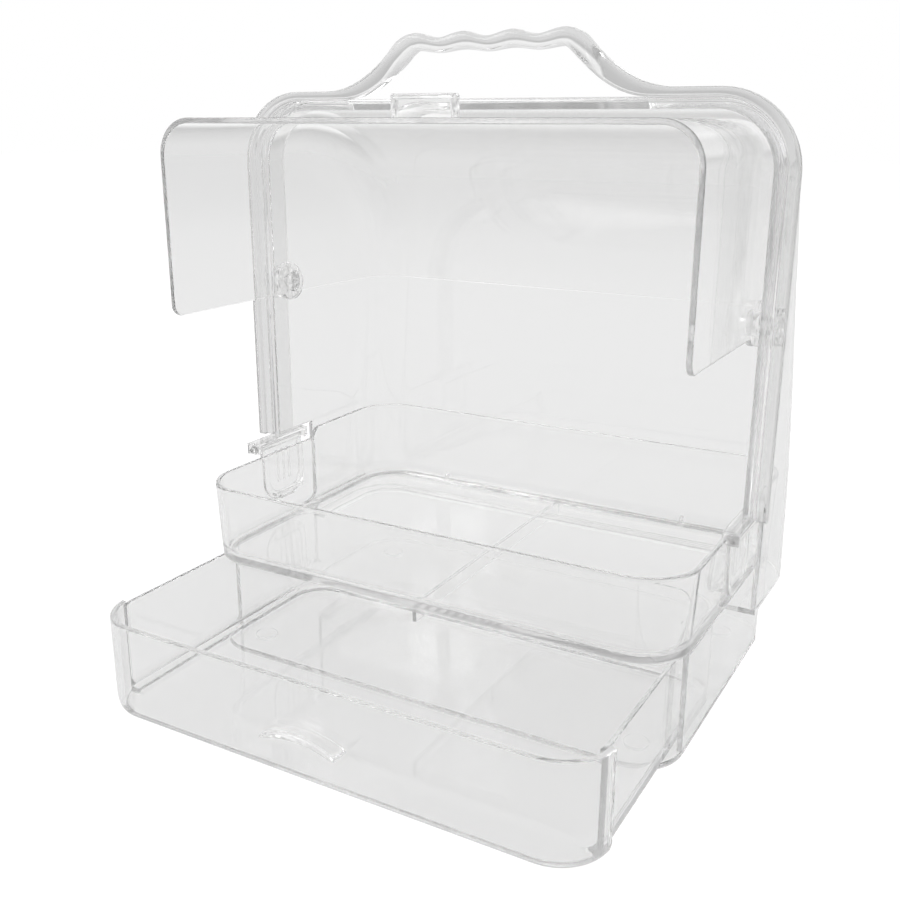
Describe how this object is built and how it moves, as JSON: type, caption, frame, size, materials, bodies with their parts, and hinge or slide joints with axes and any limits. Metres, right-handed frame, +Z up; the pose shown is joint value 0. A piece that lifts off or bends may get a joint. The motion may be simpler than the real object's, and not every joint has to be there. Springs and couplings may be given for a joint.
{
  "type": "makeup organizer",
  "caption": "Clear dustproof cosmetics box: a pull-out drawer, an open tray above it, and a tall cover with a roll-top lid, side clips and a carrying handle.",
  "frame": {"origin": "middle of the whole object at the level of the feet, with the lid open and the drawer pulled out", "axes": "+X to the right as seen from the front, +Y from the front to the back, +Z up from the surface it stands on"},
  "size_m": [0.296, 0.271, 0.3198],
  "materials": {
    "clear_shell": "clear glossy moulding",
    "clear_solid": "clear glossy moulding, thicker and greyer at its edges",
    "feet": "soft and half clear"
  },
  "bodies": {
    "base": {"base_housing": "clear_shell", "tray": "clear_shell", "rear_cover": "clear_shell", "handle_frame": "clear_solid", "hinge_pin_left": "clear_solid", "hinge_pin_right": "clear_solid", "hinge_spacer_left": "clear_solid", "hinge_spacer_right": "clear_solid", "hinge_cap_left": "clear_solid", "hinge_cap_right": "clear_solid", "clip_bracket_left": "clear_solid", "clip_bracket_right": "clear_solid", "clip_pin_left": "clear_solid", "clip_pin_right": "clear_solid", "foot_front_left": "feet", "foot_front_right": "feet", "foot_rear_left": "feet", "foot_rear_right": "feet"},
    "lid": {"lid": "clear_shell", "lid_tab": "clear_solid"},
    "drawer": {"drawer_tub": "clear_shell", "drawer_front": "clear_solid", "drawer_pull": "clear_solid"},
    "clip_left": {"side_clip_left": "clear_shell"},
    "clip_right": {"side_clip_right": "clear_shell"}
  },
  "joints": [
    {"name": "lid_hinge", "type": "hinge", "parent": "base", "child": "lid", "pos_m": [0, 0.041, 0.1925], "axis": [1, 0, 0], "range_deg": [0, 91]},
    {"name": "drawer_slide", "type": "slide", "parent": "base", "child": "drawer", "axis": [0, 1, 0], "range_m": [-0.04, 0.082]},
    {"name": "clip_left_hinge", "type": "hinge", "parent": "base", "child": "clip_left", "pos_m": [-0.1382, 0.0305, 0.0991], "axis": [0, 1, 0], "range_deg": [0, 35]},
    {"name": "clip_right_hinge", "type": "hinge", "parent": "base", "child": "clip_right", "pos_m": [0.1382, 0.0305, 0.0991], "axis": [0, -1, 0], "range_deg": [0, 35]}
  ]
}
